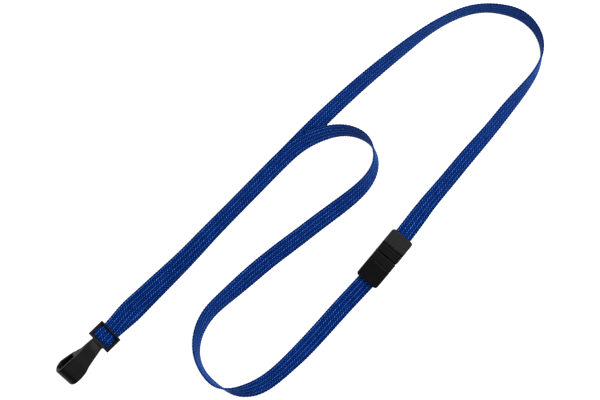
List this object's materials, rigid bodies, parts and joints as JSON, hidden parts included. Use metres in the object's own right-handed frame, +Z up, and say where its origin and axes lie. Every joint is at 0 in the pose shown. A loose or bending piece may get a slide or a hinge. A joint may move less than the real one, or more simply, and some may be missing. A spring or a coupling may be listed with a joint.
{
  "type": "lanyard",
  "caption": "Flat braided neck lanyard with a breakaway clasp whose toothed jaws grip the strap's ends, and a wide open hook on a slide.",
  "frame": {"origin": "on the table under the middle between the hook and the clasp, as the lanyard lies flat", "axes": "+X from the hook along the doubled strap to the far end of the loop, +Z up from the table"},
  "size_m": [0.3039, 0.0883, 0.014],
  "materials": {
    "strap_braid": "tubular braid pressed flat, polyester, dark blue with small bright knuckles and dark gaps",
    "hook_plastic": "black moulded plastic with a soft satin sheen",
    "clasp_plastic": "black moulded plastic, semi-gloss"
  },
  "bodies": {
    "strap": {"strap_outer": "strap_braid", "strap_inner": "strap_braid", "clasp_socket": "clasp_plastic"},
    "hook": {"hook": "hook_plastic", "strap_fold": "strap_braid", "strap_flex": "strap_braid"},
    "plug": {"clasp_plug": "clasp_plastic", "strap_release": "strap_braid"},
    "socket_jaw": {"socket_jaw": "clasp_plastic"},
    "plug_jaw": {"plug_jaw": "clasp_plastic"}
  },
  "joints": [
    {"name": "hook_swing", "type": "hinge", "parent": "strap", "child": "hook", "pos_m": [-0.046, 0.0365, 0.0022], "axis": [0, 1, 0], "range_deg": [0, 90], "deforming": ["strap_flex"]},
    {"name": "plug_release", "type": "slide", "parent": "strap", "child": "plug", "axis": [0.994, 0.1097, 0], "range_m": [0, 0.012], "deforming": ["strap_release"]},
    {"name": "socket_jaw_hinge", "type": "hinge", "parent": "strap", "child": "socket_jaw", "pos_m": [0.06854, -0.03593, 0.00485], "axis": [-0.1097, 0.994, 0], "range_deg": [0, 90]},
    {"name": "plug_jaw_hinge", "type": "hinge", "parent": "plug", "child": "plug_jaw", "pos_m": [0.08091, -0.03456, 0.00485], "axis": [0.1097, -0.994, 0], "range_deg": [0, 90]}
  ]
}
